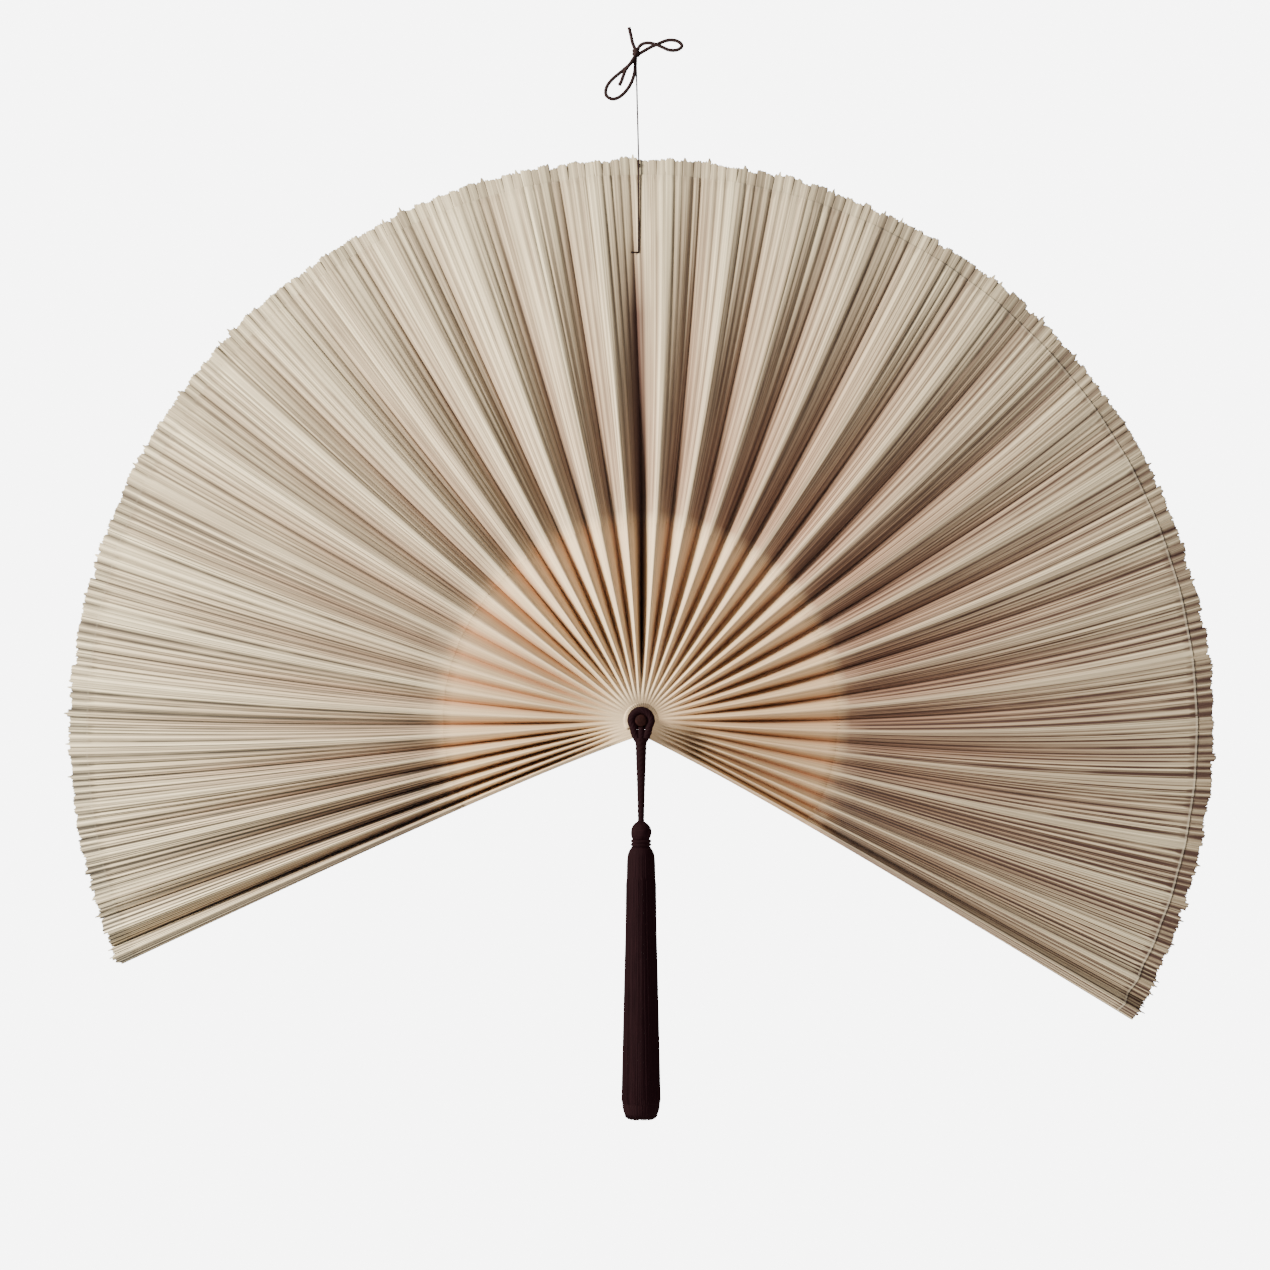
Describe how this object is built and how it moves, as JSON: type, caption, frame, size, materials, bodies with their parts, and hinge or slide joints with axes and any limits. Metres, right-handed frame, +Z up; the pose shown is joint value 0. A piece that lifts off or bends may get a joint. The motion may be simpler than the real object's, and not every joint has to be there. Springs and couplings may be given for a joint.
{
  "type": "folding wall fan",
  "caption": "Large hanging fan of split bamboo slats on one pivot pin, opened past a half circle, with a pleated cloth leaf, a long tassel and a hanging thread with a bow.",
  "frame": {"origin": "the nail that the hanging thread's knot sits on, 843 mm above the pivot pin", "axes": "+Z up, -Y towards the viewer of the open fan, +X to the viewer's right; the slats turn about Y on the pin"},
  "size_m": [1.4527, 0.0789, 1.3752],
  "materials": {
    "bamboo": "satin",
    "leaf_cloth": "matte",
    "lacquered_pin": "gloss",
    "tassel_yarn": "satin",
    "twine": "matte"
  },
  "bodies": {
    "hub": {"pin": "lacquered_pin", "front_washer": "lacquered_pin", "rear_washer": "lacquered_pin", "slat_18": "bamboo", "slat_19": "bamboo", "leaf": "leaf_cloth", "hanging_thread": "twine", "bow": "twine"},
    "slat_body_01": {"slat_01": "bamboo"},
    "slat_body_02": {"slat_02": "bamboo"},
    "slat_body_03": {"slat_03": "bamboo"},
    "slat_body_04": {"slat_04": "bamboo"},
    "slat_body_05": {"slat_05": "bamboo"},
    "slat_body_06": {"slat_06": "bamboo"},
    "slat_body_07": {"slat_07": "bamboo"},
    "slat_body_08": {"slat_08": "bamboo"},
    "slat_body_09": {"slat_09": "bamboo"},
    "slat_body_10": {"slat_10": "bamboo"},
    "slat_body_11": {"slat_11": "bamboo"},
    "slat_body_12": {"slat_12": "bamboo"},
    "slat_body_13": {"slat_13": "bamboo"},
    "slat_body_14": {"slat_14": "bamboo"},
    "slat_body_15": {"slat_15": "bamboo"},
    "slat_body_16": {"slat_16": "bamboo"},
    "slat_body_17": {"slat_17": "bamboo"},
    "slat_body_20": {"slat_20": "bamboo"},
    "slat_body_21": {"slat_21": "bamboo"},
    "slat_body_22": {"slat_22": "bamboo"},
    "slat_body_23": {"slat_23": "bamboo"},
    "slat_body_24": {"slat_24": "bamboo"},
    "slat_body_25": {"slat_25": "bamboo"},
    "slat_body_26": {"slat_26": "bamboo"},
    "slat_body_27": {"slat_27": "bamboo"},
    "slat_body_28": {"slat_28": "bamboo"},
    "slat_body_29": {"slat_29": "bamboo"},
    "slat_body_30": {"slat_30": "bamboo"},
    "slat_body_31": {"slat_31": "bamboo"},
    "slat_body_32": {"slat_32": "bamboo"},
    "slat_body_33": {"slat_33": "bamboo"},
    "slat_body_34": {"slat_34": "bamboo"},
    "slat_body_35": {"slat_35": "bamboo"},
    "slat_body_36": {"slat_36": "bamboo"},
    "slat_body_37": {"slat_37": "bamboo"},
    "tassel": {"tassel_loop": "tassel_yarn", "tassel_ball": "tassel_yarn", "tassel_binding": "tassel_yarn", "tassel_skirt": "tassel_yarn"}
  },
  "joints": [
    {"name": "slat_fold_01", "type": "hinge", "parent": "hub", "child": "slat_body_01", "pos_m": [0.0063, 0, -0.843], "axis": [0, 1, 0], "range_deg": [0, 110.02]},
    {"name": "slat_fold_02", "type": "hinge", "parent": "hub", "child": "slat_body_02", "pos_m": [0.0063, 0, -0.843], "axis": [0, 1, 0], "range_deg": [0, 107.41]},
    {"name": "slat_fold_03", "type": "hinge", "parent": "hub", "child": "slat_body_03", "pos_m": [0.0063, 0, -0.843], "axis": [0, 1, 0], "range_deg": [0, 103.72]},
    {"name": "slat_fold_04", "type": "hinge", "parent": "hub", "child": "slat_body_04", "pos_m": [0.0063, 0, -0.843], "axis": [0, 1, 0], "range_deg": [0, 99.14]},
    {"name": "slat_fold_05", "type": "hinge", "parent": "hub", "child": "slat_body_05", "pos_m": [0.0063, 0, -0.843], "axis": [0, 1, 0], "range_deg": [0, 93.82]},
    {"name": "slat_fold_06", "type": "hinge", "parent": "hub", "child": "slat_body_06", "pos_m": [0.0063, 0, -0.843], "axis": [0, 1, 0], "range_deg": [0, 87.91]},
    {"name": "slat_fold_07", "type": "hinge", "parent": "hub", "child": "slat_body_07", "pos_m": [0.0063, 0, -0.843], "axis": [0, 1, 0], "range_deg": [0, 81.53]},
    {"name": "slat_fold_08", "type": "hinge", "parent": "hub", "child": "slat_body_08", "pos_m": [0.0063, 0, -0.843], "axis": [0, 1, 0], "range_deg": [0, 74.78]},
    {"name": "slat_fold_09", "type": "hinge", "parent": "hub", "child": "slat_body_09", "pos_m": [0.0063, 0, -0.843], "axis": [0, 1, 0], "range_deg": [0, 67.76]},
    {"name": "slat_fold_10", "type": "hinge", "parent": "hub", "child": "slat_body_10", "pos_m": [0.0063, 0, -0.843], "axis": [0, 1, 0], "range_deg": [0, 60.52]},
    {"name": "slat_fold_11", "type": "hinge", "parent": "hub", "child": "slat_body_11", "pos_m": [0.0063, 0, -0.843], "axis": [0, 1, 0], "range_deg": [0, 53.14]},
    {"name": "slat_fold_12", "type": "hinge", "parent": "hub", "child": "slat_body_12", "pos_m": [0.0063, 0, -0.843], "axis": [0, 1, 0], "range_deg": [0, 45.66]},
    {"name": "slat_fold_13", "type": "hinge", "parent": "hub", "child": "slat_body_13", "pos_m": [0.0063, 0, -0.843], "axis": [0, 1, 0], "range_deg": [0, 38.1]},
    {"name": "slat_fold_14", "type": "hinge", "parent": "hub", "child": "slat_body_14", "pos_m": [0.0063, 0, -0.843], "axis": [0, 1, 0], "range_deg": [0, 30.51]},
    {"name": "slat_fold_15", "type": "hinge", "parent": "hub", "child": "slat_body_15", "pos_m": [0.0063, 0, -0.843], "axis": [0, 1, 0], "range_deg": [0, 22.89]},
    {"name": "slat_fold_16", "type": "hinge", "parent": "hub", "child": "slat_body_16", "pos_m": [0.0063, 0, -0.843], "axis": [0, 1, 0], "range_deg": [0, 15.27]},
    {"name": "slat_fold_17", "type": "hinge", "parent": "hub", "child": "slat_body_17", "pos_m": [0.0063, 0, -0.843], "axis": [0, 1, 0], "range_deg": [0, 7.63]},
    {"name": "slat_fold_20", "type": "hinge", "parent": "hub", "child": "slat_body_20", "pos_m": [0.0063, 0, -0.843], "axis": [0, 1, 0], "range_deg": [-7.68, 0]},
    {"name": "slat_fold_21", "type": "hinge", "parent": "hub", "child": "slat_body_21", "pos_m": [0.0063, 0, -0.843], "axis": [0, 1, 0], "range_deg": [-15.36, 0]},
    {"name": "slat_fold_22", "type": "hinge", "parent": "hub", "child": "slat_body_22", "pos_m": [0.0063, 0, -0.843], "axis": [0, 1, 0], "range_deg": [-23.04, 0]},
    {"name": "slat_fold_23", "type": "hinge", "parent": "hub", "child": "slat_body_23", "pos_m": [0.0063, 0, -0.843], "axis": [0, 1, 0], "range_deg": [-30.71, 0]},
    {"name": "slat_fold_24", "type": "hinge", "parent": "hub", "child": "slat_body_24", "pos_m": [0.0063, 0, -0.843], "axis": [0, 1, 0], "range_deg": [-38.36, 0]},
    {"name": "slat_fold_25", "type": "hinge", "parent": "hub", "child": "slat_body_25", "pos_m": [0.0063, 0, -0.843], "axis": [0, 1, 0], "range_deg": [-45.97, 0]},
    {"name": "slat_fold_26", "type": "hinge", "parent": "hub", "child": "slat_body_26", "pos_m": [0.0063, 0, -0.843], "axis": [0, 1, 0], "range_deg": [-53.53, 0]},
    {"name": "slat_fold_27", "type": "hinge", "parent": "hub", "child": "slat_body_27", "pos_m": [0.0063, 0, -0.843], "axis": [0, 1, 0], "range_deg": [-61.01, 0]},
    {"name": "slat_fold_28", "type": "hinge", "parent": "hub", "child": "slat_body_28", "pos_m": [0.0063, 0, -0.843], "axis": [0, 1, 0], "range_deg": [-68.36, 0]},
    {"name": "slat_fold_29", "type": "hinge", "parent": "hub", "child": "slat_body_29", "pos_m": [0.0063, 0, -0.843], "axis": [0, 1, 0], "range_deg": [-75.55, 0]},
    {"name": "slat_fold_30", "type": "hinge", "parent": "hub", "child": "slat_body_30", "pos_m": [0.0063, 0, -0.843], "axis": [0, 1, 0], "range_deg": [-82.5, 0]},
    {"name": "slat_fold_31", "type": "hinge", "parent": "hub", "child": "slat_body_31", "pos_m": [0.0063, 0, -0.843], "axis": [0, 1, 0], "range_deg": [-89.16, 0]},
    {"name": "slat_fold_32", "type": "hinge", "parent": "hub", "child": "slat_body_32", "pos_m": [0.0063, 0, -0.843], "axis": [0, 1, 0], "range_deg": [-95.43, 0]},
    {"name": "slat_fold_33", "type": "hinge", "parent": "hub", "child": "slat_body_33", "pos_m": [0.0063, 0, -0.843], "axis": [0, 1, 0], "range_deg": [-101.22, 0]},
    {"name": "slat_fold_34", "type": "hinge", "parent": "hub", "child": "slat_body_34", "pos_m": [0.0063, 0, -0.843], "axis": [0, 1, 0], "range_deg": [-106.4, 0]},
    {"name": "slat_fold_35", "type": "hinge", "parent": "hub", "child": "slat_body_35", "pos_m": [0.0063, 0, -0.843], "axis": [0, 1, 0], "range_deg": [-110.85, 0]},
    {"name": "slat_fold_36", "type": "hinge", "parent": "hub", "child": "slat_body_36", "pos_m": [0.0063, 0, -0.843], "axis": [0, 1, 0], "range_deg": [-114.42, 0]},
    {"name": "slat_fold_37", "type": "hinge", "parent": "hub", "child": "slat_body_37", "pos_m": [0.0063, 0, -0.843], "axis": [0, 1, 0], "range_deg": [-116.94, 0], "deforming": ["leaf"]},
    {"name": "tassel_swing", "type": "hinge", "parent": "hub", "child": "tassel", "pos_m": [0.0063, 0, -0.843], "axis": [0, 1, 0], "range_deg": [-35, 35]}
  ],
  "couplings": [
    {"joint": "slat_fold_01", "follows": "slat_fold_37", "ratio": -0.94087},
    {"joint": "slat_fold_02", "follows": "slat_fold_37", "ratio": -0.91854},
    {"joint": "slat_fold_03", "follows": "slat_fold_37", "ratio": -0.88699},
    {"joint": "slat_fold_04", "follows": "slat_fold_37", "ratio": -0.84778},
    {"joint": "slat_fold_05", "follows": "slat_fold_37", "ratio": -0.80231},
    {"joint": "slat_fold_06", "follows": "slat_fold_37", "ratio": -0.75177},
    {"joint": "slat_fold_07", "follows": "slat_fold_37", "ratio": -0.69721},
    {"joint": "slat_fold_08", "follows": "slat_fold_37", "ratio": -0.63952},
    {"joint": "slat_fold_09", "follows": "slat_fold_37", "ratio": -0.57943},
    {"joint": "slat_fold_10", "follows": "slat_fold_37", "ratio": -0.51757},
    {"joint": "slat_fold_11", "follows": "slat_fold_37", "ratio": -0.45444},
    {"joint": "slat_fold_12", "follows": "slat_fold_37", "ratio": -0.39043},
    {"joint": "slat_fold_13", "follows": "slat_fold_37", "ratio": -0.32584},
    {"joint": "slat_fold_14", "follows": "slat_fold_37", "ratio": -0.2609},
    {"joint": "slat_fold_15", "follows": "slat_fold_37", "ratio": -0.19577},
    {"joint": "slat_fold_16", "follows": "slat_fold_37", "ratio": -0.13054},
    {"joint": "slat_fold_17", "follows": "slat_fold_37", "ratio": -0.065276},
    {"joint": "slat_fold_20", "follows": "slat_fold_37", "ratio": 0.065689},
    {"joint": "slat_fold_21", "follows": "slat_fold_37", "ratio": 0.13137},
    {"joint": "slat_fold_22", "follows": "slat_fold_37", "ratio": 0.19702},
    {"joint": "slat_fold_23", "follows": "slat_fold_37", "ratio": 0.26259},
    {"joint": "slat_fold_24", "follows": "slat_fold_37", "ratio": 0.32801},
    {"joint": "slat_fold_25", "follows": "slat_fold_37", "ratio": 0.39313},
    {"joint": "slat_fold_26", "follows": "slat_fold_37", "ratio": 0.45779},
    {"joint": "slat_fold_27", "follows": "slat_fold_37", "ratio": 0.52172},
    {"joint": "slat_fold_28", "follows": "slat_fold_37", "ratio": 0.58461},
    {"joint": "slat_fold_29", "follows": "slat_fold_37", "ratio": 0.64605},
    {"joint": "slat_fold_30", "follows": "slat_fold_37", "ratio": 0.70553},
    {"joint": "slat_fold_31", "follows": "slat_fold_37", "ratio": 0.76245},
    {"joint": "slat_fold_32", "follows": "slat_fold_37", "ratio": 0.81607},
    {"joint": "slat_fold_33", "follows": "slat_fold_37", "ratio": 0.86554},
    {"joint": "slat_fold_34", "follows": "slat_fold_37", "ratio": 0.90989},
    {"joint": "slat_fold_35", "follows": "slat_fold_37", "ratio": 0.94796},
    {"joint": "slat_fold_36", "follows": "slat_fold_37", "ratio": 0.97849}
  ]
}
